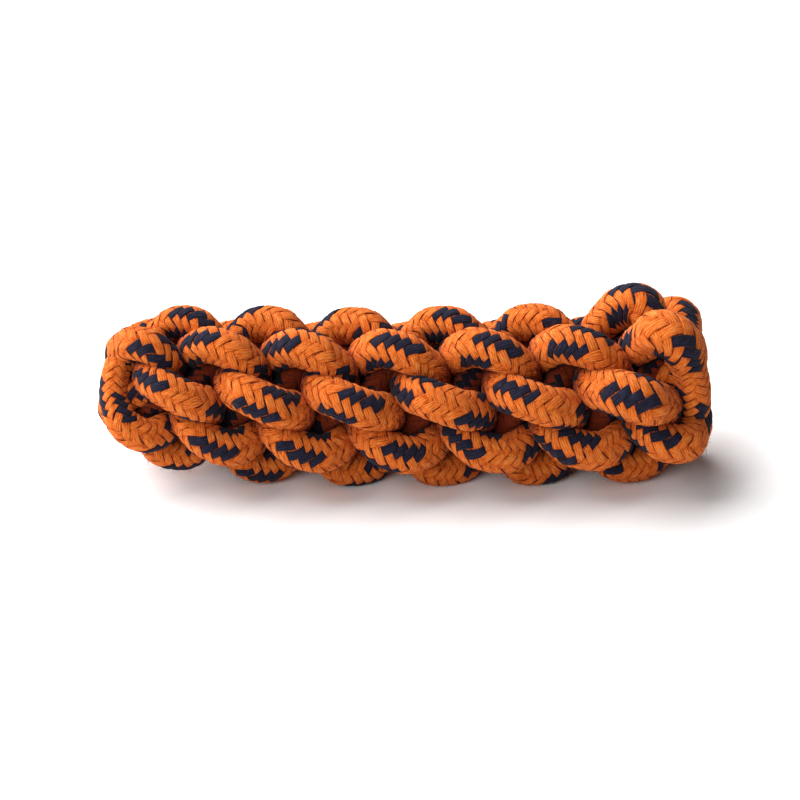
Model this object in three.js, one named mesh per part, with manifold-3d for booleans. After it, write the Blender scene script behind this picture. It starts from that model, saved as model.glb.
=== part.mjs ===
// A rope dog toy: four braided cotton ropes worked into one stick, which lies along +X.
//
// Every rope is laid in crowns. It crosses the stick on a chord, over the first rope that it meets and under
// the second, bends up the outside as a slanted bight, and dives into the next crown. That crown is the same
// one, turned by three eighths of a turn and one pitch further along, so one route serves all four ropes.
import * as THREE from 'three';
import { mergeVertices } from 'three/addons/utils/BufferGeometryUtils.js';
import Module from 'manifold-3d';

const wasm = await Module();
wasm.setup();

// Sizes in millimetres
const ROPE_DIAMETER = 10; // a free rope
const ROPE_GAP = 0.7; // clearance between ropes that lie against each other
const COVER_WALL = 1.6; // thickness of the braided sleeve
const CORE_GAP = 0.3; // clearance between a sleeve and its filler
const REST_CUT = 1; // depth of the flats that the stick lies on
const START_BEND = 440; // radii of the gentle bends that lift the stick's two ends off the floor
const END_BEND = 800;

// Counts
const ROPES = 4;
const CROWNS = 14;
const STEPS = 11; // rings along a rope for each crown
const COVER_SIDES = 8;
const CORE_SIDES = 4;
const GAP_STEPS = 24; // rings and sides on which the gaps are measured
const GAP_SIDES = 16;

// How the work lies, in rope widths: the room that soft ropes take when the crowns are drawn tight
const PITCH = 1.1; // from crown to crown
const REACH = 1.745; // stick's axis to the middle of a bight
const INSET = 0.714; // stick's axis to the middle of a chord
const SLANT_ARM = { turns: -2, length: -0.087 }; // lesser arms, which slant the bights
const LEAN_ARM = { turns: 1, length: 0.0762 }; // and lean the chord's two halves
const SWAY_ARM = { turns: 2, length: 0.0276 }; // away from the ropes that they pass
const DIP = [0.4391, 0.1249, 0.0785]; // rise and fall past those ropes, in waves of a crown, a half and a third
const BIGHT_SECTION = { thick: 0.914, wide: 0.948 }; // nearly round where it shows
const CHORD_SECTION = { thick: 0.611, wide: 0.842 }; // squeezed flat inside
const END_SECTION = { thick: 0.74, wide: 0.9 }; // fuller again on the two end faces
const SQUEEZE_POWER = 4; // how soon a bight swells out of the squeeze
const END_DIP = 0.25; // share of the dip that is left on an end face, where no crown follows
const END_DRAW = 0.5; // an end face is drawn in by this towards the stick's axis
const END_SHIFT = -0.1; // both end faces sit a little towards -X

// How the work's size changes along the stick, as shares of it
const GROWTH = 0.05; // from one end to the other
const START_TIGHT = 0.11; // the first crown is drawn smaller by this

// Places along the stick, in crowns from the first chord
const LAST = CROWNS - 1;
const SELF_APART = 0.6; // stretches of one rope that are closer than this aren't neighbours
const TAIL = 0.022; // a trimmed end, past the middle of its end face's chord
const END_REACH = [0.1, 0.6]; // where the end face's shape passes into the stick's
const TIGHT_FROM = -0.4; // where the tight start passes into the even work
const TIGHT_TO = 4;
const START_BEND_CROWN = 6; // where the two bends begin
const END_BEND_CROWN = 7.5;
const SLACK_SPREAD = 0.2; // from a loose bight's middle to its sides

// The loose bights, with how far each stands proud and leans towards +X in millimetres
const SLACK_BIGHTS = [
  { rope: 0, crown: LAST - 1.5, rise: 1.5, lean: 2 },
  { rope: 1, crown: LAST - 0.5, rise: 4.5, lean: 1 },
  { rope: 2, crown: LAST - 0.5, rise: 2.5, lean: 0 },
  { rope: 3, crown: LAST - 1.5, rise: 2.9, lean: 3 },
];

// Angles in turns
const CROWN_TURN = 3 / 8;
const FLAT_TURN = -1 / 8; // a rope's flat side turns back by this in each crown
const START_TURN = 1 / 8; // two rows of bights lie on the floor

const ORANGE = '#d97a2b';
const COTTON = '#e6d9c2';

const ropeWidth = ROPE_DIAMETER + ROPE_GAP;
const pitch = PITCH * ropeWidth;
const tau = 2 * Math.PI;

// How far `t` is inside the stick: 0 on an end face, 1 from the first bight on
function insideAt(t) {
  return THREE.MathUtils.smoothstep(Math.min(t, LAST - t), ...END_REACH);
}

// The middle of rope number `rope` at `t` crowns from the first chord, in a straight stick. Across the stick it
// is the sum of five turning arms, which trace a chord when the rope is inside and wait at a bight; along the
// stick it climbs one pitch per crown, and dips under one neighbour after rising over the other.
function straightPoint(rope, t) {
  const inside = insideAt(t);
  const reach = REACH - END_DRAW * (1 - inside);
  const arms = [
    { turns: 0, length: (reach + INSET) / 2 - SLANT_ARM.length - SWAY_ARM.length },
    { turns: -1, length: (INSET - reach) / 2 - LEAN_ARM.length },
    SLANT_ARM,
    LEAN_ARM,
    SWAY_ARM,
  ];
  const start = START_TURN + rope / ROPES;
  const point = new THREE.Vector3(PITCH * t + END_SHIFT * (1 - inside), 0, 0);
  for (const { turns, length } of arms) {
    const angle = tau * (start + (CROWN_TURN + turns) * t);
    point.y += length * Math.cos(angle);
    point.z += length * Math.sin(angle);
  }
  DIP.forEach((dip, i) => {
    point.x -= THREE.MathUtils.lerp(END_DIP, 1, inside) * dip * Math.sin(tau * (i + 1) * t);
  });
  point.multiplyScalar(ropeWidth);
  for (const { crown, rise, lean } of SLACK_BIGHTS.filter((bight) => bight.rope === rope)) {
    const share = Math.exp(-(((t - crown) / SLACK_SPREAD) ** 2));
    const outward = 1 + (share * rise) / Math.hypot(point.y, point.z);
    point.x += share * lean;
    point.y *= outward;
    point.z *= outward;
  }
  return point;
}

// How large the work is at `x` along the straight stick, where 1 is an even one
function sizeAt(x) {
  const crowns = x / pitch;
  const tight = 1 - THREE.MathUtils.smoothstep(crowns, TIGHT_FROM, TIGHT_TO);
  return 1 + GROWTH * (crowns / LAST - 1 / 2) - START_TIGHT * tight;
}

// How far the real stick has got at `x` along the straight one, with the growth and the tight start added up
function distanceAt(x) {
  const reach = (TIGHT_TO - TIGHT_FROM) * pitch;
  const even = THREE.MathUtils.clamp((x - TIGHT_FROM * pitch) / reach, 0, 1);
  const tight = reach * (1 / 2 - even + even ** 3 - even ** 4 / 2);
  return x + (GROWTH * x * (x / pitch / LAST - 1)) / 2 + START_TIGHT * tight;
}

// Bends the stick up in an arc past `from`; `sense` is the end that it is bent at, as a sign
function bendUp(point, from, radius, sense) {
  const angle = Math.max(0, sense * (point.x - from)) / radius;
  if (angle > 0) {
    const arm = radius - point.z;
    point.x = from + sense * arm * Math.sin(angle);
    point.z = radius - arm * Math.cos(angle);
  }
}

// The middle of a rope in the real stick, which grows towards +X and is bent up at both ends
function ropePoint(rope, t) {
  const point = straightPoint(rope, t);
  const size = sizeAt(point.x);
  point.y *= size;
  point.z *= size;
  point.x = distanceAt(point.x);
  bendUp(point, START_BEND_CROWN * pitch, START_BEND, -1);
  bendUp(point, END_BEND_CROWN * pitch, END_BEND, 1);
  return point;
}

// One station of a rope: its middle, its direction, the two across it, and half its width and thickness
function station(rope, t) {
  const small = 1e-3;
  const middle = ropePoint(rope, t);
  const along = ropePoint(rope, t + small).sub(ropePoint(rope, t - small)).normalize();
  const flat = tau * (START_TURN + rope / ROPES + FLAT_TURN * t);
  const across = new THREE.Vector3(0, Math.cos(flat), Math.sin(flat));
  across.addScaledVector(along, -across.dot(along)).normalize();
  const up = new THREE.Vector3().crossVectors(along, across);
  const swell = Math.sin(Math.PI * t) ** SQUEEZE_POWER;
  const width = ropeWidth * sizeAt(straightPoint(rope, t).x);
  const half = (key) => {
    const chord = THREE.MathUtils.lerp(END_SECTION[key], CHORD_SECTION[key], insideAt(t));
    return (THREE.MathUtils.lerp(chord, BIGHT_SECTION[key], swell) * width - ROPE_GAP) / 2;
  };
  return { middle, along, across, up, halfWide: half('wide'), halfThick: half('thick') };
}

// The stations of a whole rope, from one trimmed end to the other
function stations(rope, steps) {
  const length = LAST + 2 * TAIL;
  const count = Math.round(length * steps);
  return Array.from({ length: count + 1 }, (_, i) => station(rope, (length * i) / count - TAIL));
}

// Rings of points round a rope's stations, `inside` below its surface
function rings(path, sides, inside) {
  return path.map(({ middle, across, up, halfWide, halfThick }) =>
    Array.from({ length: sides }, (_, i) => {
      const angle = (tau * i) / sides;
      return middle
        .clone()
        .addScaledVector(across, (halfWide - inside) * Math.cos(angle))
        .addScaledVector(up, (halfThick - inside) * Math.sin(angle));
    }),
  );
}

// Triangles between neighbouring rings; `first` is the number of their first point
function skin(ringCount, sides, first, outward) {
  const faces = [];
  for (let r = 0; r + 1 < ringCount; r++) {
    for (let s = 0; s < sides; s++) {
      const a = first + r * sides + s;
      const b = first + r * sides + ((s + 1) % sides);
      const c = a + sides;
      const d = b + sides;
      faces.push(...(outward ? [a, b, d, a, d, c] : [a, d, b, a, c, d]));
    }
  }
  return faces;
}

function geometryOf(points, faces) {
  return new THREE.BufferGeometry().setFromPoints(points).setIndex(faces);
}

// The filler: a tube closed by a flat face at both ends
function coreGeometry(path) {
  const points = rings(path, CORE_SIDES, COVER_WALL + CORE_GAP).flat();
  const faces = skin(path.length, CORE_SIDES, 0, true);
  const last = points.length - CORE_SIDES;
  for (let s = 1; s + 1 < CORE_SIDES; s++) {
    faces.push(0, s + 1, s, last, last + s, last + s + 1);
  }
  return geometryOf(points, faces);
}

// The sleeve: an outer skin and a bore, joined by a flat rim at both cut ends
function coverGeometry(path) {
  const outer = rings(path, COVER_SIDES, 0);
  const bore = rings(path, CORE_SIDES, COVER_WALL);
  const points = [...outer.flat(), ...bore.flat()];
  const boreStart = outer.length * COVER_SIDES;
  const faces = [
    ...skin(path.length, COVER_SIDES, 0, true),
    ...skin(path.length, CORE_SIDES, boreStart, false),
  ];
  const share = COVER_SIDES / CORE_SIDES;
  const rim = (o, b, turned) => {
    const add = (i, j, k) => faces.push(...(turned ? [i, k, j] : [i, j, k]));
    for (let s = 0; s < CORE_SIDES; s++) {
      const near = b + s;
      const next = b + ((s + 1) % CORE_SIDES);
      for (let n = 0; n < share; n++) {
        const i = o + s * share + n;
        add(i, near, o + ((s * share + n + 1) % COVER_SIDES));
      }
      add(o + (((s + 1) * share) % COVER_SIDES), near, next);
    }
  };
  rim(0, boreStart, false);
  rim(boreStart - COVER_SIDES, points.length - CORE_SIDES, true);
  return geometryOf(points, faces);
}

// A closed geometry as a solid for cutting, and back
function solidOf(geometry) {
  const merged = mergeVertices(geometry, 1e-3);
  return new wasm.Manifold(
    new wasm.Mesh({
      numProp: 3,
      vertProperties: merged.attributes.position.array,
      triVerts: new Uint32Array(merged.index.array),
    }),
  );
}

function geometryFrom(solid) {
  const { vertProperties, triVerts } = solid.getMesh();
  return new THREE.BufferGeometry()
    .setAttribute('position', new THREE.BufferAttribute(vertProperties, 3))
    .setIndex(new THREE.BufferAttribute(triVerts, 1));
}

// The least gap between the skins of two ropes, or of a rope and itself, measured on the rings' points: how far
// each point lies outside the oval section of the nearest station of the other stretch, or past its trimmed end
function leastGap(ringsA, pathB, sameRope) {
  const apart = sameRope ? GAP_STEPS * SELF_APART : -1;
  const last = pathB.length - 1;
  const step = pathB[0].middle.distanceTo(pathB[1].middle);
  let least = Infinity;
  ringsA.forEach((ring, r) => {
    for (const point of ring) {
      let nearest = 0;
      let best = Infinity;
      pathB.forEach((place, s) => {
        const distance = Math.abs(r - s) <= apart ? Infinity : place.middle.distanceToSquared(point);
        if (distance < best) {
          best = distance;
          nearest = s;
        }
      });
      const { middle, along, across, up, halfWide, halfThick } = pathB[nearest];
      const offset = point.clone().sub(middle);
      const wide = offset.dot(across);
      const thick = offset.dot(up);
      const beside = Math.hypot(wide, thick) * (1 - 1 / Math.hypot(wide / halfWide, thick / halfThick));
      const ahead = offset.dot(along);
      const past = nearest === 0 ? -ahead : nearest === last ? ahead : Math.abs(ahead) - step;
      least = Math.min(least, Math.max(beside, past));
    }
  });
  return least;
}

const ropes = Array.from({ length: ROPES }, (_, rope) => rope);
const finePaths = ropes.map((rope) => stations(rope, GAP_STEPS));
const gaps = ropes.flatMap((a) =>
  ropes.slice(a).map((b) => leastGap(rings(finePaths[a], GAP_SIDES, 0), finePaths[b], a === b)),
);
console.log('least gap between stretches of rope', Math.min(...gaps).toFixed(2), 'mm');

// The floor cuts the lowest bights flat, and the origin is on it, under the middle of the stick
const paths = ropes.map((rope) => stations(rope, STEPS));
const box = new THREE.Box3().setFromPoints(paths.flatMap((path) => rings(path, COVER_SIDES, 0)).flat());
const middle = box.getCenter(new THREE.Vector3());
const extent = box.getSize(new THREE.Vector3());
const floor = box.min.z + REST_CUT;
const under = new THREE.BoxGeometry(2 * extent.x, 2 * extent.y, 2 * REST_CUT);
under.translate(middle.x, middle.y, floor - REST_CUT);
under.deleteAttribute('normal');
under.deleteAttribute('uv');
const floorSolid = solidOf(under);

const toy = new THREE.Group();
toy.position.set(-middle.x, -middle.y, -floor);
const coverMaterial = new THREE.MeshStandardMaterial({ color: ORANGE, roughness: 0.9, metalness: 0 });
const coreMaterial = new THREE.MeshStandardMaterial({ color: COTTON, roughness: 0.95, metalness: 0 });
paths.forEach((path, i) => {
  const cover = geometryFrom(solidOf(coverGeometry(path)).subtract(floorSolid));
  const pieces = [
    [`rope_${i + 1}_cover`, cover, coverMaterial],
    [`rope_${i + 1}_core`, coreGeometry(path), coreMaterial],
  ];
  for (const [name, geometry, material] of pieces) {
    const mesh = new THREE.Mesh(geometry, material);
    mesh.name = name;
    toy.add(mesh);
  }
});

export default toy;
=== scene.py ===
# %% [markdown]
# # A rope dog toy
# Four thick cotton ropes are crowned into one stick: each rope crosses the stick, bends up its outside as a
# slanted bight, and dives in again one crown further on. This lesson dresses the plain solids of that stick.
# Everything that shows is yarn, so nearly all of it is one idea used at three sizes: a thin tube on a path.
# Dressing them mustn't change the size of the object, so the box of what is shown is measured at the end.

import bpy
import numpy as np
from mathutils import Matrix, Vector


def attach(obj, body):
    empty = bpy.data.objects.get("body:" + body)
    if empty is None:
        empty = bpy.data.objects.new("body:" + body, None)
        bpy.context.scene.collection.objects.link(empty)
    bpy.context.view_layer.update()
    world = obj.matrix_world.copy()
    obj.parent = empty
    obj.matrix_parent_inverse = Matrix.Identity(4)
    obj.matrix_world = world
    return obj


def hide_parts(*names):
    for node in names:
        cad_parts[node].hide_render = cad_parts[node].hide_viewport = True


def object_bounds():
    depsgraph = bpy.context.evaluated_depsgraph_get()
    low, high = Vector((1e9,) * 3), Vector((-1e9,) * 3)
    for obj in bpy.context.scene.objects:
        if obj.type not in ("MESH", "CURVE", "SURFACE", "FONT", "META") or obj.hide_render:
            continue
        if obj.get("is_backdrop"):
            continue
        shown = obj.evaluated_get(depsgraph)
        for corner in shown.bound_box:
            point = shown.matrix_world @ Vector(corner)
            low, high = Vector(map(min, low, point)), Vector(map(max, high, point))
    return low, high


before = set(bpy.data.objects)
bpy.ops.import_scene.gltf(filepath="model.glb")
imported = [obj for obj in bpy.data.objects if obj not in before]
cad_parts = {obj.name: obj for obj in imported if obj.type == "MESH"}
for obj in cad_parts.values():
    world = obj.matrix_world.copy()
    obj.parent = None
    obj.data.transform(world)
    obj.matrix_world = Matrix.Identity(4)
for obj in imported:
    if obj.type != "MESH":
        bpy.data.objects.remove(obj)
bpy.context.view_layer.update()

# %% [markdown]
# ## Crowns, ends and loose bights
# A place on a rope is counted in crowns. At each whole number the rope is a chord inside the stick, and halfway
# to the next it is a bight on the outside. On the two end faces the ropes lie flatter, their trimmed ends are
# tucked in, and near +X four bights were left loose. All this could be posed by hand, point by point. Here each
# is a weight from 0 to 1 along the rope, because weights blend one form into the next without a kink.

# %% Weights along a rope
ROPES = 4
CROWNS = 14
LAST = CROWNS - 1  # number of the last chord
END_REACH = (0.1, 0.6)  # crowns from an end face, over which it passes into the stick
TAIL = 0.3  # crowns of tucked rope past an end face
SLACK_BIGHTS = {  # by rope; how far each stands proud and leans towards +X is in metres
    0: {"crown": LAST - 1.5, "rise": 0.0015, "lean": 0.002},
    1: {"crown": LAST - 0.5, "rise": 0.0045, "lean": 0.001},
    2: {"crown": LAST - 0.5, "rise": 0.0025, "lean": 0.0},
    3: {"crown": LAST - 1.5, "rise": 0.0029, "lean": 0.003},
}
SLACK_SPREAD = 0.2  # crowns


def smooth_step(x, low, high):
    """0 below `low`, 1 above `high`, and the cubic 3x^2 - 2x^3 between them."""
    x = np.clip((x - low) / (high - low), 0, 1)
    return x * x * (3 - 2 * x)


def inside_at(t):
    """0 on an end face of the stick and 1 from the first bight on, counted from the nearer end."""
    return smooth_step(np.minimum(t, LAST - t), *END_REACH)


def tuck_at(t):
    """0 along the stick, rising to 1 at a trimmed end on a cosine ease."""
    return (1 - np.cos(np.pi * np.clip(np.maximum(-t, t - LAST) / TAIL, 0, 1))) / 2


def slack_at(rope, t):
    """1 at the middle of a rope's loose bight, falling off on a bell curve."""
    return np.exp(-(((t - SLACK_BIGHTS[rope]["crown"]) / SLACK_SPREAD) ** 2))


print("bights:", ROPES * LAST, "loose:", len(SLACK_BIGHTS),
      "inside at t = 0, 0.35, 0.6:", inside_at(np.array([0, 0.35, 0.6])))

# %% [markdown]
# ## The route of a rope
# The solids hold the ropes' places, but not their centre lines, so the route's formula is repeated here in
# metres. Four curves could be drawn by hand instead, but they would have to be kept clear of each other at
# every crossing. The formula gives an even, straight stick: arms that turn at different rates are added up
# across it, and along it there is a climb with dips. The four ropes are this one route, a quarter turn apart,
# so what fits once fits everywhere.

# %% The even, straight stick
TAU = 2 * np.pi
ROPE_DIAMETER = 0.010
ROPE_GAP = 0.0007  # clearance between the solids
ROPE_WIDTH = ROPE_DIAMETER + ROPE_GAP
START_TURN = 1 / 8  # of a turn, to the first rope's first chord
CROWN_TURN = 3 / 8  # from a crown to the next

# In rope widths
PITCH = 1.1  # along the stick from a crown to the next
REACH = 1.745  # from the stick's axis to a bight's middle
INSET = 0.714  # and to a chord's middle
LESSER_ARMS = {-2: -0.087, 1: 0.0762, 2: 0.0276}  # by their turns past the crown's own
DIP = [0.4391, 0.1249, 0.0785]  # of sines with one, two and three turns to a crown
END_DRAW = 0.5  # the rope on an end face is drawn in by this
END_SHIFT = -0.1  # and moved along the stick by this
TUCK = 1.2  # a trimmed end goes this far into the stick, under its neighbours

# As shares
END_DIP = 0.25  # of the dips, on an end face
TUCK_DRAW = 0.4  # a trimmed end is drawn in by this towards the stick's axis


def straight_line(rope, t):
    """Points of a rope's middle at `t` crowns. Across the stick: the sum of five turning arms. Along it: the
    pitch times t, less a sum of sines. Past either end the rope sinks into the stick, under its neighbours.
    A loose bight moves out from the axis and along it by its weight."""
    inside, tuck = inside_at(t), tuck_at(t)
    reach = REACH - END_DRAW * (1 - inside)
    arms = {
        0: (reach + INSET) / 2 - LESSER_ARMS[-2] - LESSER_ARMS[2],
        -1: (INSET - reach) / 2 - LESSER_ARMS[1],
        **LESSER_ARMS,
    }
    angles = {more: TAU * (START_TURN + rope / ROPES + (CROWN_TURN + more) * t) for more in arms}
    drawn = 1 - TUCK_DRAW * tuck
    y = drawn * sum(length * np.cos(angles[more]) for more, length in arms.items())
    z = drawn * sum(length * np.sin(angles[more]) for more, length in arms.items())
    dips = sum(dip * np.sin(TAU * (i + 1) * t) for i, dip in enumerate(DIP))
    x = PITCH * t - (END_DIP + (1 - END_DIP) * inside) * dips
    x += END_SHIFT * (1 - inside) + TUCK * tuck * np.sign(LAST / 2 - t)
    points = ROPE_WIDTH * np.stack([x, y, z], axis=-1)
    loose, weight = SLACK_BIGHTS[rope], slack_at(rope, t)
    points[:, 0] += loose["lean"] * weight
    points[:, 1:] *= (1 + loose["rise"] * weight / np.linalg.norm(points[:, 1:], axis=1))[:, None]
    return points


from_axis = np.linalg.norm(straight_line(0, np.array([6.0, 6.5]))[:, 1:], axis=1)
print("from the axis to a chord and to a bight, m:", from_axis.round(4))

# %% [markdown]
# ## The real shape of the stick
# Work made by hand is never even: this stick starts tight, grows towards +X, and bends up off the floor at both
# ends. Blender's Simple Deform modifier can taper and bend a finished mesh, but it would stretch the yarns with
# it, and tight work has smaller bights, not finer yarn. So the ropes' lines are scaled and bent, and the yarn is
# laid on them afterwards.

# %% Growth and bend
STICK_PITCH = PITCH * ROPE_WIDTH
GROWTH = 0.05  # share of the size, from end to end
START_TIGHT = 0.11  # share of the size that the first crowns lack
TIGHT_REACH = (-0.4, 4)  # crowns over which they catch up
START_BEND, END_BEND = 0.44, 0.8  # radii
BEND_CROWNS = (6, 7.5)  # where the bends begin


def size_at(x):
    """How large the work is at `x` along the straight stick: 1 plus the growth, less the tight start."""
    crowns = x / STICK_PITCH
    return 1 + GROWTH * (crowns / LAST - 1 / 2) - START_TIGHT * (1 - smooth_step(crowns, *TIGHT_REACH))


def distance_at(x):
    """How far the real stick has got at `x` along the straight one: the integral of its size, where that of the
    tight start is what is left of it, 1/2 - s + s^3 - s^4 / 2 at a share s of its reach."""
    reach = (TIGHT_REACH[1] - TIGHT_REACH[0]) * STICK_PITCH
    s = np.clip((x - TIGHT_REACH[0] * STICK_PITCH) / reach, 0, 1)
    grown = GROWTH * x * (x / (STICK_PITCH * LAST) - 1) / 2
    return x + grown + START_TIGHT * reach * (1 / 2 - s + s**3 - s**4 / 2)


def bend_up(points, start, radius, sense):
    """Points past `start` carried round an arc whose centre is `radius` above the stick's axis."""
    angle = np.maximum(0, sense * (points[:, 0] - start)) / radius
    arm = radius - points[:, 2]
    x, z = start + sense * arm * np.sin(angle), radius - arm * np.cos(angle)
    return np.where(angle[:, None] > 0, np.stack([x, points[:, 1], z], axis=-1), points)


def rope_line(rope, t):
    """Points of a rope's middle in the real stick, counted from the first chord on the stick's axis."""
    points = straight_line(rope, t)
    points[:, 1:] *= size_at(points[:, 0])[:, None]
    points[:, 0] = distance_at(points[:, 0])
    points = bend_up(points, BEND_CROWNS[0] * STICK_PITCH, START_BEND, -1)
    return bend_up(points, BEND_CROWNS[1] * STICK_PITCH, END_BEND, 1)


ends = STICK_PITCH * np.array([0, LAST])
print("size at both ends:", size_at(ends).round(3), "length of the axis, m:", np.ptp(distance_at(ends)).round(4))

# %% [markdown]
# ## The section of a rope
# A soft rope is squeezed flat where it crosses the stick between its neighbours, and swells to nearly round in
# a bight. A Blender curve with a bevel keeps one section all along and can only shrink it, so half the width and
# half the thickness of an oval are worked out here for every place. Soft covers fill the clearance that the
# solids need, which makes the chords and the loose bights a little fuller than those.

# %% Half widths
BIGHT_SECTION = {"thick": 0.914, "wide": 0.948}  # in rope widths
CHORD_SECTION = {"thick": 0.75, "wide": 0.95}
END_SECTION = {"thick": 0.8, "wide": 0.95}
SQUEEZE_POWER = 4  # the higher, the shorter the swell
TUCK_SQUEEZE = 0.25  # a trimmed end is squeezed by this share
SLACK_FULL = 0.19  # a loose bight is fuller by this share


def section_half(rope, t, key):
    """Half the rope's width or thickness: squeezed in a chord, swelling with a power of sin(pi t) to a bight."""
    inside = inside_at(t)
    chord = END_SECTION[key] + (CHORD_SECTION[key] - END_SECTION[key]) * inside
    swell = np.sin(np.pi * np.clip(t, 0, LAST)) ** SQUEEZE_POWER
    width = ROPE_WIDTH * size_at(straight_line(rope, t)[:, 0])
    width *= (1 - TUCK_SQUEEZE * tuck_at(t)) * (1 + SLACK_FULL * slack_at(rope, t))
    return (chord + (BIGHT_SECTION[key] - chord) * swell) * width / 2


print("half thickness of a chord and a bight, m:", section_half(0, np.array([6.0, 6.5]), "thick").round(5))

# %% [markdown]
# ## A frame along each rope
# A braid needs to know its place on the rope's skin: how far along, and how far round. The frame of the flat
# section turns about the rope, and a braid that followed it would be wrung like a towel. So the turn of that
# frame is added up along the rope and taken off again, which leaves yarns that run straight, as in real rope.
# A Blender curve keeps such a frame too, but only for its own bevel, and here the numbers are needed.
# What twist the ropes got in the hand is put in on purpose: so many ribbons at each bight, and it changes
# only where the rope is inside the stick. It decides where the navy flecks come round to the outside.

# %% Twist
CARRIERS = 8  # ribbons of the braid each way
TWIST_START = (6.4, 2.0, 0.5, 1.4)  # in ribbons, by rope
TWIST_RATE = (0.9, 0.7, 1.2, 0.7)  # more at each crown
TWIST_BOW = (-0.2, 0.18, -0.22, 0.2)  # and with the square of the crowns from the middle
TWIST_REACH = 0.3  # crowns on either side of a bight over which its twist stays


def twist_at(rope, t):
    """The angle of the twist: steady about each bight, and straight lines between. From bight to bight it
    follows start + rate b + bow (b - middle)^2."""
    bights = np.arange(LAST)
    twist = TWIST_START[rope] + TWIST_RATE[rope] * bights
    twist = twist + TWIST_BOW[rope] * (bights - (LAST - 1) / 2) ** 2
    knots = np.stack([bights + 0.5 - TWIST_REACH, bights + 0.5 + TWIST_REACH], axis=1).ravel()
    return TAU / CARRIERS * np.interp(t, knots, np.repeat(twist, 2))


both_bights = np.array([0.5, LAST - 0.5])
print("turns from the first bight to the last:",
      [round(float(np.ptp(twist_at(rope, both_bights)) / TAU), 2) for rope in range(ROPES)])

# %% Stations, evenly spaced along the rope
STATION_STEP = 0.0004
FINE_POINTS = 12001  # for measuring a rope's length
FLAT_TURN = -1 / 8  # of a turn, by which the flat section turns at each crown
MIDDLE, ACROSS, UP = slice(0, 3), slice(3, 6), slice(6, 9)  # columns of a station
WIDE, THICK, ROLL, CROWN = 9, 10, 11, 12


def unit(v):
    """Vectors of length one."""
    return v / np.linalg.norm(v, axis=-1, keepdims=True)


def rope_stations(rope):
    """Columns of middle, across, up, half width, half thickness, roll and crowns at even steps of length, and
    the length. The roll is the integral of (change of across) . up, the angle by which the frame turns about
    the rope, less the twist."""
    fine = np.linspace(-TAIL, LAST + TAIL, FINE_POINTS)
    line = rope_line(rope, fine)
    length = np.concatenate([[0], np.cumsum(np.linalg.norm(np.diff(line, axis=0), axis=1))])
    count = int(length[-1] / STATION_STEP)
    t = np.interp(np.linspace(0, length[-1], count), length, fine)
    middle = rope_line(rope, t)
    along = unit(np.gradient(middle, axis=0))
    flat = TAU * (START_TURN + rope / ROPES + FLAT_TURN * t)
    across = np.stack([0 * flat, np.cos(flat), np.sin(flat)], axis=-1)
    across = unit(across - along * np.sum(across * along, axis=1, keepdims=True))
    up = np.cross(along, across)
    turned = np.sum(np.diff(across, axis=0) * (up[1:] + up[:-1]) / 2, axis=1)
    roll = np.concatenate([[0], np.cumsum(turned)]) - twist_at(rope, t)
    columns = [section_half(rope, t, "wide"), section_half(rope, t, "thick"), roll, t]
    return np.hstack([middle, across, up, np.stack(columns, axis=1)]), length[-1]


stations, lengths = zip(*[rope_stations(rope) for rope in range(ROPES)])
print("ropes, m:", np.round(lengths, 3), "stations:", [len(rows) for rows in stations])

# %% [markdown]
# ## Onto the floor
# The stick lies on two rows of bights, which its weight presses flat. The solids have flats cut there, and their
# box stands on the origin. The object could be moved there afterwards, but then its place would sit in the
# object and not in the mesh, so the stations are moved now, by the same box. A cut would leave a hard edge in
# yarn, so points below the floor are eased up onto it instead.

# %% The origin
REST_CUT = 0.001  # depth of the flats that the stick lies on


def stick_corners():
    """The box of the solids' skins about those stations, where the loose bights are no fuller. An oval section
    reaches out along an axis by the root of (half width x across)^2 + (half thickness x up)^2."""
    rows = np.vstack(stations)
    slack = np.concatenate([slack_at(rope, stations[rope][:, CROWN]) for rope in range(ROPES)])
    half = rows[:, [WIDE, THICK]] / (1 + SLACK_FULL * slack)[:, None] - ROPE_GAP / 2
    kept = (rows[:, CROWN] > 0) & (rows[:, CROWN] < LAST)
    rows, half = rows[kept], half[kept]
    reach = np.hypot(half[:, :1] * rows[:, ACROSS], half[:, 1:] * rows[:, UP])
    return (rows[:, MIDDLE] - reach).min(axis=0), (rows[:, MIDDLE] + reach).max(axis=0)


low, high = stick_corners()
ORIGIN = np.array([*(low + high)[:2] / 2, low[2] + REST_CUT])
for rows in stations:
    rows[:, MIDDLE] -= ORIGIN
AXIS_HEIGHT = -ORIGIN[2]
print("axis at z =", round(AXIS_HEIGHT, 5))

# %% A point on the skin
FLOOR_GIVE = 0.0003  # height over which a point eases onto the floor


def rows_at(rope, distance):
    """The columns of a rope's stations at a distance along it, each between its two neighbours."""
    rows = stations[rope]
    place = np.clip(distance / STATION_STEP, 0, len(rows) - 1.001)  # short of the last, which has no next
    below = place.astype(int)
    part = (place - below)[..., None]
    return rows[below] * (1 - part) + rows[below + 1] * part


def on_floor(points):
    """The points, pressed flat where the floor is: their height z becomes give x ln(1 + e^(z / give))."""
    points[..., 2] = FLOOR_GIVE * np.logaddexp(0, points[..., 2] / FLOOR_GIVE)
    return points


def on_skin(rope, distance, angle, rise):
    """Points at a distance along a rope, an angle round it and a rise above its oval section. The oval is
    (half width cos, half thickness sin), and the rise follows its normal."""
    row = rows_at(rope, distance)
    wide, thick, roll = row[..., WIDE], row[..., THICK], row[..., ROLL]
    cos, sin = np.cos(angle - roll), np.sin(angle - roll)
    normal = unit(np.stack([cos / wide, sin / thick], axis=-1))
    points = row[..., MIDDLE] + row[..., ACROSS] * (wide * cos + rise * normal[..., 0])[..., None]
    points = points + row[..., UP] * (thick * sin + rise * normal[..., 1])[..., None]
    return on_floor(points)


sample = on_skin(0, np.linspace(0, lengths[0], 2000)[:, None], TAU * np.arange(12) / 12, 0.0)
print("the first rope's skin, m: z from", sample[..., 2].min().round(5), "to", sample[..., 2].max().round(5))

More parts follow.
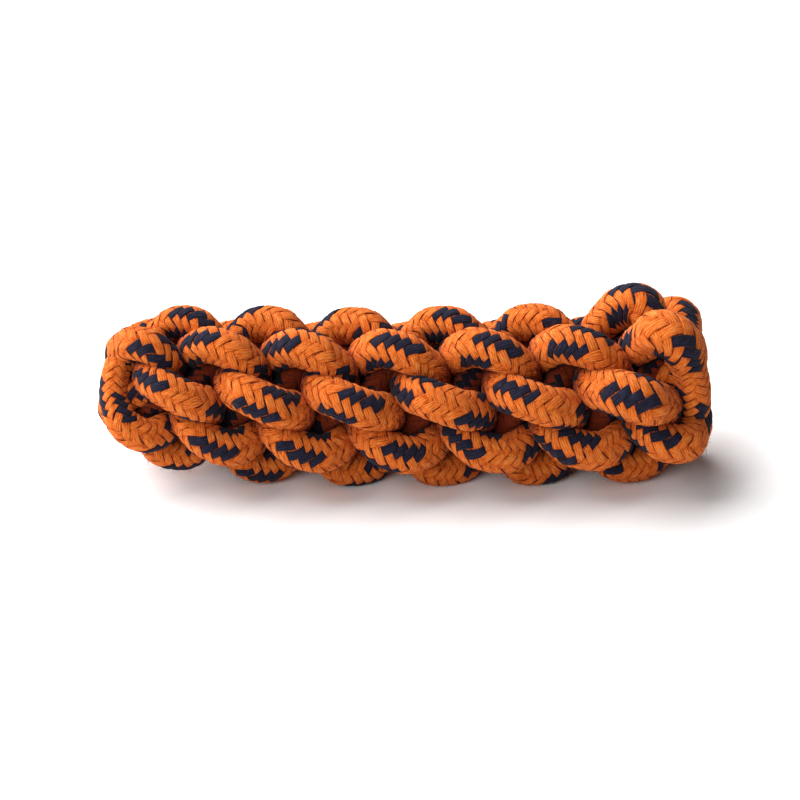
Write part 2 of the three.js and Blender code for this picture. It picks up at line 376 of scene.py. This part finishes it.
# %% [markdown]
# ## Camera
# The photograph looks down on the stick from the front. A camera could be dragged about until the picture fits,
# but then every change spoils the last. So it stands on a sphere about the stick's middle, given by three
# angles, and its lens follows from the scale in the photograph: each number can be corrected by itself.
# A slight shift of the lens puts the middle on its pixel and leaves the perspective alone.

# %% The photograph's view
VIEW = {"azimuth": 2.0, "elevation": 28.3, "roll": -1.35, "distance": 0.9}  # degrees, metres
PIXELS_PER_METRE = 3820  # in the photograph, at the stick
IMAGE = 800  # pixels
AIM_PIXEL = (404.5, 394.3)  # of the stick's middle
SENSOR = 36  # mm


def place_camera():
    """A camera on a sphere about the stick's middle, whose lens gives the photograph's scale at that distance:
    sensor x distance x pixels to a metre / pixels of the image."""
    azimuth, elevation, roll = np.radians([VIEW["azimuth"], VIEW["elevation"], VIEW["roll"]])
    ahead = np.cos(elevation)
    look = Vector((-np.sin(azimuth) * ahead, np.cos(azimuth) * ahead, -np.sin(elevation)))
    turn = look.to_track_quat("-Z", "Y").to_matrix().to_4x4() @ Matrix.Rotation(roll, 4, "Z")
    aim = Vector((0, 0, AXIS_HEIGHT))
    lens_data = bpy.data.cameras.new("camera")
    lens_data.sensor_width = SENSOR
    lens_data.lens = SENSOR * VIEW["distance"] * PIXELS_PER_METRE / IMAGE
    lens_data.shift_x = (IMAGE / 2 - AIM_PIXEL[0]) / IMAGE
    lens_data.shift_y = (AIM_PIXEL[1] - IMAGE / 2) / IMAGE
    camera = bpy.data.objects.new("camera", lens_data)
    camera.matrix_world = Matrix.Translation(aim - look * VIEW["distance"]) @ turn
    bpy.context.scene.collection.objects.link(camera)
    bpy.context.scene.camera = camera
    return camera


camera = place_camera()
print("lens", round(camera.data.lens, 1), "mm")

# %% [markdown]
# ## Floor
# The stick lies on a pale sheet with no edge or horizon in sight. A studio curves the sheet up behind the object,
# but that backdrop is right from one side only. One flat square, far wider than the view, looks the same from
# all sides and catches the shadow.

# %% Pale floor
FLOOR_HALF = 8.0
FLOOR_COLOUR = (0.9, 0.9, 0.9, 1)
FLOOR_ROUGHNESS = 0.8


def new_material(name):
    """A material made of nodes, and its Principled shader."""
    material = bpy.data.materials.new(name)
    material.use_nodes = True
    return material, material.node_tree.nodes["Principled BSDF"]


def pale_floor(half):
    """One square of pale floor at z = 0."""
    mesh = bpy.data.meshes.new("floor")
    corners = [(-half, -half, 0), (half, -half, 0), (half, half, 0), (-half, half, 0)]
    mesh.from_pydata(corners, [], [(0, 1, 2, 3)])
    material, shader = new_material("pale_floor")
    shader.inputs["Base Color"].default_value = FLOOR_COLOUR
    shader.inputs["Roughness"].default_value = FLOOR_ROUGHNESS
    mesh.materials.append(material)
    floor = bpy.data.objects.new("floor", mesh)
    bpy.context.scene.collection.objects.link(floor)
    floor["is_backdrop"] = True
    return floor


floor = pale_floor(FLOOR_HALF)
print(floor.name, "across, m:", 2 * FLOOR_HALF)

# %% [markdown]
# ## Light
# The tops of the bights are bright and a soft shadow falls to the front and right, so the main light is large and
# stands behind at the upper left. A sun lamp would cut a hard shadow, and a picture of a room would tint the
# cotton, so square area lights do it, as in a studio. They stand well back, which lights the floor evenly on all
# sides. A weaker light in front, and a faint white world, open the gaps between the ropes.

# %% Soft lights
WORLD_STRENGTH = 0.04


def soft_light(name, place, size, power):
    """A square area light aimed at the stick."""
    data = bpy.data.lights.new(name, "AREA")
    data.size = size
    data.energy = power
    light = bpy.data.objects.new(name, data)
    aim = (-Vector(place)).to_track_quat("-Z", "Y").to_matrix().to_4x4()
    light.matrix_world = Matrix.Translation(place) @ aim
    bpy.context.scene.collection.objects.link(light)
    return light


lights = [
    soft_light("key", place=(-1.68, 0.98, 1.86), size=3.75, power=278),
    soft_light("front", place=(-1.25, -2.0, 1.5), size=2.0, power=47),
]
world = bpy.data.worlds.new("studio")
world.use_nodes = True
world.node_tree.nodes["Background"].inputs["Color"].default_value = (1, 1, 1, 1)
world.node_tree.nodes["Background"].inputs["Strength"].default_value = WORLD_STRENGTH
bpy.context.scene.world = world
bpy.context.scene.view_settings.view_transform = "Standard"
print("lights, W:", {light.name: round(light.data.energy) for light in lights})

# %% [markdown]
# ## Tubes
# Ribbons, filler strands and fibres are all closed tubes: rings of points along a path, joined by four-sided
# faces, with a flat face at each end. A curve with a bevel would make tubes too, but with one section all along,
# and with no room for a place in the yarn or for painted shade at each point. Whole arrays carry all of that, and
# foreach_set copies them into a mesh at once, where adding the vertices one by one would take minutes.

# %% Faces of tubes
def tube_faces(tubes):
    """Quads that join neighbouring rings, faces that close the ends, and the material number of each. The
    points are numbered round a ring, from ring to ring, and from tube to tube."""
    quads, caps, kinds, first = [], [], [], 0
    for rings, _, _, kind in tubes:
        steps, sides, _ = rings.shape
        number = first + np.arange(steps * sides).reshape(steps, sides)
        near, far = number[:-1], number[1:]
        around = [near, np.roll(near, -1, 1), np.roll(far, -1, 1), far]
        quads.append(np.stack(around, axis=-1).reshape(-1, 4))
        caps += [number[0][::-1], number[-1]]
        kinds.append(np.full(len(quads[-1]), kind))
        first += steps * sides
    cap_kinds = np.repeat([tube[-1] for tube in tubes], 2)
    return np.vstack(quads), np.array(caps), np.concatenate([*kinds, cap_kinds])


joined, closing, _ = tube_faces([(np.zeros((3, 6, 3)), None, None, 0)])
print("a tube of 3 rings of 6 points:", len(joined), "quads and", len(closing), "ends")

# %% Tubes into a mesh
def tube_mesh(name, tubes, materials):
    """A piece of closed tubes, each given as (rings, uv, painted_light, kind): an array (ring, point, xyz), each
    point's place across and along the yarns, its painted light from 0 (painted shade) to 1, and the number of its
    material."""
    quads, caps, kinds = tube_faces(tubes)
    sides = caps.shape[1]
    corners = np.concatenate([quads.ravel(), caps.ravel()])
    starts = np.concatenate([np.arange(0, quads.size, 4), quads.size + sides * np.arange(len(caps))])
    points = np.concatenate([tube[0].ravel() for tube in tubes])
    uv = np.concatenate([tube[1].reshape(-1, 2) for tube in tubes])[corners]
    painted_light = np.concatenate([tube[2].ravel() for tube in tubes])
    mesh = bpy.data.meshes.new(name)
    mesh.vertices.add(len(points) // 3)
    mesh.vertices.foreach_set("co", points.astype(np.float32))
    mesh.loops.add(len(corners))
    mesh.loops.foreach_set("vertex_index", corners.astype(np.int32))
    mesh.polygons.add(len(starts))
    mesh.polygons.foreach_set("loop_start", starts.astype(np.int32))
    mesh.polygons.foreach_set("material_index", kinds.astype(np.int32))
    mesh.uv_layers.new(name="yarn").data.foreach_set("uv", uv.astype(np.float32).ravel())
    mesh.attributes.new("painted_light", "FLOAT", "POINT").data.foreach_set("value", painted_light.astype(np.float32))
    mesh.update(calc_edges=True)
    mesh.shade_smooth()
    for material in materials:
        mesh.materials.append(material)
    piece = bpy.data.objects.new(name, mesh)
    bpy.context.scene.collection.objects.link(piece)
    print(name, "triangles:", 2 * len(quads) + len(caps) * (sides - 2))
    return piece


# %% [markdown]
# ## Cotton
# Dyed cotton yarn is matt, with a soft rim of loose fibres, so the shader is rough with a little sheen. Each
# yarn is two plies twisted together: slanted ridges that repeat once per yarn, from the sine of a slanted
# coordinate. Noise drawn out along the yarn gives the streaks of uneven dye, and a wider noise its patches.
# Shade is painted into the dye in the grooves between yarns, at the edges of a ribbon and inside the stick,
# and light on the bights, carried by an attribute of the mesh. A picture of cloth could be laid on instead, but
# it would repeat, and blur close up. These patterns follow each yarn, because they read its own UV map.

# %% Noise, and a shorthand for nodes
NOISE = {  # scale, levels of detail, and how it is stretched across and along the yarns
    "streaks": (1.6, 4.0, (2.0, 0.5, 1)),
    "patches": (0.35, 1.0, (1, 1, 1)),
    "fibres": (2.5, 4.0, (9.0, 1.2, 1)),
}


def node_maker(tree):
    """A shorthand that adds a node to a tree, changes its settings, and feeds its inputs by values or links."""
    def add(kind, inputs=(), **settings):
        """The new node, with its inputs given by name or number."""
        node = tree.nodes.new(kind)
        for key, value in settings.items():
            setattr(node, key, value)
        for socket, value in dict(inputs).items():
            if isinstance(value, bpy.types.NodeSocket):
                tree.links.new(value, node.inputs[socket])
            else:
                node.inputs[socket].default_value = value
        return node

    return add


print("length of each noise in yarn widths:",
      {kind: round(1 / scale / stretch[1], 2) for kind, (scale, _, stretch) in NOISE.items()})

# %% Cotton yarn
YARNS = 4  # side by side in a ribbon, where the place across runs from 0 to this
GROOVE_POWER, EDGE_POWER = 3.0, 6.0  # the higher, the narrower
PLY_SLANT = 1.1  # ridges to a yarn width along the yarn
TONE_START = -0.475
# Groove and edge darken the tone as painted shade between yarns and between ribbons; the patches are uneven dye,
# and the attribute paints light on the bights and shade inside the stick.
TONE = {"patches": 0.25, "painted_light": 0.4, "groove": -0.08, "edge": -0.2}  # what each adds to the streaks
TONE_STOPS = {"dark": 0.22, "middle": 0.48, "light": 0.68}
RELIEF = {"ply": 0.25, "groove": -0.8}  # what each adds to the fibres
BUMP = {"Strength": 0.55, "Distance": 0.00015}
FINISH = {"Roughness": 0.92, "Specular IOR Level": 0.15, "Sheen Roughness": 0.5}


def cotton(name, dark, middle, light, sheen):
    """Cotton yarn in three tones of one dye, streaked along the yarn, with the ridges of twisted plies. Groove:
    a power of (1 + cos of a turn per yarn) / 2. Edge: a power of the distance from a ribbon's middle. Both darken
    the tone as painted shade, and the mesh's attribute paints light on the bights and shade inside the stick."""
    material, shader = new_material(name)
    tree = material.node_tree
    add = node_maker(tree)
    place = add("ShaderNodeUVMap", uv_map="yarn").outputs["UV"]
    parts = add("ShaderNodeSeparateXYZ", {"Vector": place})
    across, along = parts.outputs["X"], parts.outputs["Y"]

    def maths(operation, *values):
        """One sum on sockets and numbers."""
        return add("ShaderNodeMath", dict(enumerate(values)), operation=operation).outputs[0]

    def noise(kind):
        """Smooth noise about 0.5 on the place in the yarns, stretched across and along them."""
        scale, detail, stretch = NOISE[kind]
        at = add("ShaderNodeMapping", {"Vector": place, "Scale": stretch}).outputs["Vector"]
        return add("ShaderNodeTexNoise", {"Vector": at, "Scale": scale, "Detail": detail}).outputs["Fac"]

    ripple = maths("MULTIPLY_ADD", maths("COSINE", maths("MULTIPLY", across, TAU)), 0.5, 0.5)
    from_middle = maths("ABSOLUTE", maths("MULTIPLY_ADD", across, 2 / YARNS, -1.0))
    slanted = maths("MULTIPLY_ADD", along, PLY_SLANT, across)
    layers = {
        # The attribute of the mesh paints light on the bights and shade inside the stick and where a ribbon dives.
        "groove": maths("POWER", ripple, GROOVE_POWER),
        "edge": maths("POWER", from_middle, EDGE_POWER),
        "ply": maths("SINE", maths("MULTIPLY", slanted, TAU)),
        "patches": noise("patches"),
        "painted_light": add("ShaderNodeAttribute", attribute_name="painted_light").outputs["Fac"],
    }
    tone = maths("ADD", noise("streaks"), TONE_START)
    for layer, weight in TONE.items():
        tone = maths("MULTIPLY_ADD", layers[layer], weight, tone)
    dye = add("ShaderNodeValToRGB", {"Fac": tone})
    first, last = dye.color_ramp.elements
    first.position, first.color = TONE_STOPS["dark"], (*dark, 1)
    last.position, last.color = TONE_STOPS["light"], (*light, 1)
    dye.color_ramp.elements.new(TONE_STOPS["middle"]).color = (*middle, 1)
    height = noise("fibres")
    for layer, weight in RELIEF.items():
        height = maths("MULTIPLY_ADD", layers[layer], weight, height)
    bump = add("ShaderNodeBump", {"Height": height, **BUMP})
    tree.links.new(dye.outputs["Color"], shader.inputs["Base Color"])
    tree.links.new(bump.outputs["Normal"], shader.inputs["Normal"])
    for socket, value in {**FINISH, "Sheen Weight": sheen}.items():
        shader.inputs[socket].default_value = value
    return material


print("tones of the dyes:", TONE_STOPS, "relief, m:", BUMP["Distance"])

# %% Three dyes
orange = cotton("orange_cotton", (0.13, 0.014, 0.002), (0.64, 0.116, 0.009), (0.65, 0.222, 0.046), 0.04)
navy = cotton("navy_cotton", (0.003, 0.003, 0.008), (0.0075, 0.0068, 0.018), (0.021, 0.019, 0.042), 0.04)
undyed = cotton("undyed_cotton", (0.45, 0.39, 0.28), (0.6, 0.54, 0.42), (0.7, 0.65, 0.54), 0.05)
print("nodes:", {material.name: len(material.node_tree.nodes) for material in (orange, navy, undyed)})

# %% [markdown]
# ## The braid
# The cover is braided from ribbons of yarn, half of them winding to the right and half to the left, and each
# passes over two of the others and under two. A picture of that on a smooth tube would do from afar, but the
# steps between ribbons catch light and shade, so every ribbon is here. In braid units, right-hand ribbon i
# is the line u - v = i, and left-hand ribbon j the line u + v = j, with u round the rope and v along it.
# Where they cross, u + u = i + j, and the ribbon on top depends on that sum alone: this is the herringbone.
# A ribbon is a row of rings at chosen stops of its wave. The same stops everywhere would be simple, but half of
# each rope is hidden inside the stick and the pieces would be too heavy, so only the bights and the two end
# faces are made in full.

# %% Stops along a ribbon
BRAID_STEP = 0.0023  # along the rope from a ribbon to the next
WAVE = 4  # crossings: over two and under two
FLOAT_MIDDLE = {"right": 0.5, "left": 2.5}  # where a ribbon is highest, in crossings
WAVE_STOPS = np.array([-1.3, -1.0, -0.7, -0.32, 0.0, 0.32, 0.7, 1.0, 1.3, 2.0])  # in crossings from there
FEW_STOPS = [-1.3, -0.7, 0.7, 1.3]  # where less of it shows
SHOWN = 0.29  # crowns on either side of a bight that are made in full
END_SHOWN = 0.2  # and on either side of an end face


def ribbon_stops(rope, hand, number):
    """The sums c = u + u at a ribbon's stops, and their places v along the rope, in braid units."""
    sense = 1 if hand == "right" else -1
    lasting = lengths[rope] / BRAID_STEP
    start = 2 * number - (0 if sense == 1 else 2 * lasting)
    waves = np.arange(np.floor(start / WAVE) - 1, np.ceil((start + 2 * lasting) / WAVE) + 1)
    stops = np.broadcast_to(WAVE_STOPS, (len(waves), len(WAVE_STOPS)))
    c = WAVE * waves[:, None] + stops + FLOAT_MIDDLE[hand]
    v = sense * (c / 2 - number)
    crowns = rows_at(rope, v * BRAID_STEP)[..., CROWN]
    from_end = np.abs(np.minimum(crowns, LAST - crowns))
    shown = (np.abs(crowns % 1 - 0.5) < SHOWN) | (from_end < END_SHOWN)
    kept = (v > 0) & (v < lasting) & (shown | np.isin(stops, FEW_STOPS))
    return c[kept], v[kept]


print("stops of a rope's right-hand ribbons:", [len(ribbon_stops(0, "right", i)[0]) for i in range(CARRIERS)])

# %% [markdown]
# ## Braided covers
# A ribbon is four yarns side by side, so its section is a flat profile with shallow grooves, carried along its
# stops. A plain sine could lift it over its neighbours, but a real ribbon lies flat on top and drops steeply, so
# the wave is sharpened with tanh. It is pressed wider beneath, which closes the gaps between ribbons. No braid is
# perfect, so each ribbon strays a little, sideways and up, on slow sines of its own. Light is painted into the
# cotton on the bights and on the two end faces, and shade inside the stick and where a ribbon dives.

# %% Painted light and shade
PAINTED_LIGHT_REACH = (0.02, 0.45)  # where the painted shade passes to painted light


def painted_light_at(crowns):
    """Painted light: 0, painted shade, on a chord inside the stick and 1 on a bight, by the square of sin(pi t);
    the end faces are painted lit too.
    """
    return smooth_step(np.sin(np.pi * np.clip(crowns, 0.5, LAST - 0.5)) ** 2, *PAINTED_LIGHT_REACH)


# Painted light at these places: 0 is painted shade inside the stick, 1 painted light on a bight.
print("worn at t = 6, 6.1, 6.2, 6.5:", painted_light_at(np.array([6, 6.1, 6.2, 6.5])).round(2))

# %% A ribbon of four yarns
MILLIMETRE = 0.001
NAVY = 4  # of the left-hand ribbons, side by side
WEAVE_DEPTH = 0.00021  # a ribbon's rise and fall about the skin
WAVE_SHARPNESS = 1.6
RIBBON_OVER, RIBBON_UNDER = 0.475, 0.56  # half its width, in braid units, on top and beneath
RIBBON_SIDE = np.array([  # share of the half width, and height in mm
    [-1.0, -0.3], [-0.9, -0.07], [-0.63, -0.01], [-0.5, -0.05], [-0.37, 0.01], [-0.13, 0.02],
])
RIBBON_PROFILE = np.vstack([RIBBON_SIDE, [[0.0, -0.03]], RIBBON_SIDE[::-1] * [-1, 1]])
STRAY, STRAY_RISE = 0.04, 0.2  # sideways in braid units, and up as a share of the depth
STRAY_RATES = (0.83, 1.37, 0.59)  # radians to a crossing
STRAY_STARTS = (2.4, 5.1)  # radians from a ribbon to the next, and from a rope to the next
CROSSING_YARNS = 1.98  # yarn widths along a ribbon to a crossing
RIBBON_APART = 37  # yarn widths from a ribbon to the next in the noise
DIVE_PAINTED_SHADE = 0.25  # painted shade where a ribbon dives, by up to twice this


def ribbon(rope, hand, number):
    """The tube of one ribbon. Along it the sum c = u + u runs evenly, its height follows tanh of the cosine of
    a wave of four crossings, and its section is the yarn profile."""
    sense = 1 if hand == "right" else -1
    c, v = ribbon_stops(rope, hand, number)
    ease = np.cos(TAU * (c - FLOAT_MIDDLE[hand]) / WAVE)
    wave = np.tanh(WAVE_SHARPNESS * ease) / np.tanh(WAVE_SHARPNESS)
    half = (RIBBON_OVER + RIBBON_UNDER) / 2 + (RIBBON_OVER - RIBBON_UNDER) / 2 * wave
    strays = [np.sin(rate * c + STRAY_STARTS[0] * number + STRAY_STARTS[1] * rope) for rate in STRAY_RATES]
    # stepping across a ribbon moves along the other family's lines
    offset = (half[:, None] * RIBBON_PROFILE[:, 0] + STRAY * (strays[0] + strays[1])[:, None]) / 2
    rise = WEAVE_DEPTH * (wave + STRAY_RISE * strays[2])[:, None] + RIBBON_PROFILE[:, 1] * MILLIMETRE
    distance = np.clip(v[:, None] - sense * offset, 0, lengths[rope] / BRAID_STEP) * BRAID_STEP
    rings = on_skin(rope, distance, TAU * (c[:, None] / 2 + offset) / CARRIERS, rise)
    yarn_across = (RIBBON_PROFILE[:, 0] + 1) * YARNS / 2
    yarn_along = c[:, None] * CROSSING_YARNS + RIBBON_APART * number
    uv = np.stack(np.broadcast_arrays(yarn_across, yarn_along), axis=-1)
    # Painted shade inside the stick and where a ribbon dives, painted light on the bights and the end faces.
    painted_light = painted_light_at(rows_at(rope, distance)[..., CROWN]) * (1 - DIVE_PAINTED_SHADE + DIVE_PAINTED_SHADE * wave[:, None])
    kind = int(hand == "left" and number < NAVY)
    return rings[:, ::sense], uv[:, ::sense], painted_light[:, ::sense], kind


print("a ribbon's rings, and points on each:", ribbon(0, "right", 0)[0].shape[:2])

# %% Covers of the four ropes
for rope in range(ROPES):
    for hand in ("right", "left"):
        tubes = [ribbon(rope, hand, number) for number in range(CARRIERS)]
        piece = tube_mesh(f"rope_{rope + 1}_{hand}_hand_ribbons", tubes, [orange, navy])
        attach(piece, "root")
        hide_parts(f"rope_{rope + 1}_cover")

# %% [markdown]
# ## Filler yarns
# A braided rope this thick keeps its round form over a bundle of coarse, undyed yarn. It is hidden, so a plain rod
# would do in this picture, but the piece should stand up to being looked at by itself. One straight strand with
# six laid round it is how such a bundle is made. It has few sides and few rings, because nothing finer shows.

# %% Seven strands in each core
STRANDS = 7
STRAND_SIDES = 6
STRAND_STEP = 0.002
STRAND_LAY = 0.04  # length of a strand's turn about the rope
STRAND_RING, STRAND_HALF = 0.6, 0.3  # a laid strand's place and half width, as shares of the core's
STRAND_YARNS, YARNS_PER_METRE, STRAND_APART = 3, 1000, 50  # round it, along it, and from it to the next
FILLER_ROOM = 0.0016  # from the rope's skin
FILLER_SHORT = 0.001  # a strand ends this far inside the cover


def filler(rope):
    """Tubes of the filler: one straight strand and six laid round it, each an oval in its share of the core."""
    distance = np.arange(FILLER_SHORT, lengths[rope] - FILLER_SHORT, STRAND_STEP)[:, None]
    side = TAU * np.arange(STRAND_SIDES) / STRAND_SIDES
    row = rows_at(rope, distance)
    wide, thick = row[..., WIDE] - FILLER_ROOM, row[..., THICK] - FILLER_ROOM
    tubes = []
    for strand in range(STRANDS):
        lay = TAU * (strand / (STRANDS - 1) + distance / STRAND_LAY)
        out = STRAND_RING if strand else 0.0
        x = wide * (out * np.cos(lay) + STRAND_HALF * np.cos(side))
        y = thick * (out * np.sin(lay) + STRAND_HALF * np.sin(side))
        rings = row[..., MIDDLE] + x[..., None] * row[..., ACROSS] + y[..., None] * row[..., UP]
        yarn_along = distance * YARNS_PER_METRE + STRAND_APART * strand
        uv = np.stack(np.broadcast_arrays(side / TAU * STRAND_YARNS, yarn_along), axis=-1)
        tubes.append((rings, uv, np.ones(rings.shape[:2]), 0))
    return tubes


for rope in range(ROPES):
    piece = tube_mesh(f"rope_{rope + 1}_filler_yarns", filler(rope), [undyed])
    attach(piece, "root")
    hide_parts(f"rope_{rope + 1}_core")

# %% [markdown]
# ## Loose fibres
# Cotton yarn is spun from short fibres, and handling lifts some of their ends out of it. They are what makes the
# outline soft, so the worn bights get a sparse down of them, in the colour of the yarn that each grows from.
# Blender's hair would grow them too, but it isn't a mesh and doesn't know which ribbon is on top. So each fibre
# is a tube of three sides and three rings, placed by seeded random numbers, which come out the same every time.

# %% The colour of the skin
def top_ribbon_is_navy(u, v):
    """Where the right-hand ribbon i nearest to a place and the left-hand ribbon j cross, the left one is on top
    if i + j leaves 2 or 3 when divided by 4."""
    right, left = np.round(u - v), np.round(u + v)
    return ((right + left) % WAVE >= WAVE / 2) & (left % CARRIERS < NAVY)


around = np.linspace(0, CARRIERS, 400, endpoint=False)
print("share of navy:", top_ribbon_is_navy(around, around[:, None]).mean().round(3))

# %% Down on each rope
FIBRES = 4000  # on each rope
FIBRE_SIDES = 3
FIBRE_RADIUS = 0.000028
FIBRE_LENGTHS = (0.0005, 0.0015)
FIBRE_PLACES = np.array([0.0, 0.5, 1.0])  # rings, as shares of the length
FIBRE_DROOP = 0.8  # how far a fibre bends over, as a share of its length
FIBRE_SEED = 7
YARN_MIDDLE = 0.5  # in yarn widths


def fibres(rope):
    """Tubes of the loose fibres: each leaves the skin on a slant and bends over with the square of its length."""
    rng = np.random.default_rng(FIBRE_SEED + rope)
    crowns = rng.integers(0, LAST, FIBRES) + 0.5 + rng.uniform(-SHOWN, SHOWN, FIBRES)
    distance = np.interp(crowns, stations[rope][:, CROWN], np.arange(len(stations[rope])) * STATION_STEP)
    angle = rng.uniform(0, TAU, FIBRES)
    length = rng.uniform(*FIBRE_LENGTHS, FIBRES)
    root = on_skin(rope, distance, angle, 0.0)
    out = unit(on_skin(rope, distance, angle, MILLIMETRE) - root)
    slant = unit(rng.normal(size=(FIBRES, 3)))
    droop = FIBRE_DROOP * FIBRE_PLACES[:, None] ** 2 * rng.uniform(-1, 1, FIBRES)[:, None, None]
    lean = unit(out + slant)
    across = unit(np.cross(lean, slant))
    over = np.cross(lean, across)
    path = FIBRE_PLACES[:, None] * lean[:, None] + droop * across[:, None]
    line = on_floor(root[:, None] + length[:, None, None] * path)
    side = TAU * np.arange(FIBRE_SIDES) / FIBRE_SIDES
    section = np.cos(side)[:, None] * across[:, None] + np.sin(side)[:, None] * over[:, None]
    rings = line[:, :, None] + FIBRE_RADIUS * section[:, None]
    kinds = top_ribbon_is_navy(CARRIERS * angle / TAU, distance / BRAID_STEP).astype(int)
    uv = np.full((*rings.shape[1:3], 2), YARN_MIDDLE)
    return [(rings[i], uv + i, np.ones(rings.shape[1:3]), kinds[i]) for i in range(FIBRES)]


for rope in range(ROPES):
    piece = tube_mesh(f"rope_{rope + 1}_loose_fibres", fibres(rope), [orange, navy])
    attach(piece, "root")
    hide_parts(f"rope_{rope + 1}_cover")

# %% [markdown]
# ## Sizes
# Cotton may stand a little proud of the solids, but the dressed stick has to be the size that they give it. That
# could be judged by eye, but two or three millimetres don't show in a picture, so the box of what is shown is
# measured and printed.

# %% The visual box
low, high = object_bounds()
print("visual box", [round(v, 4) for v in high - low])
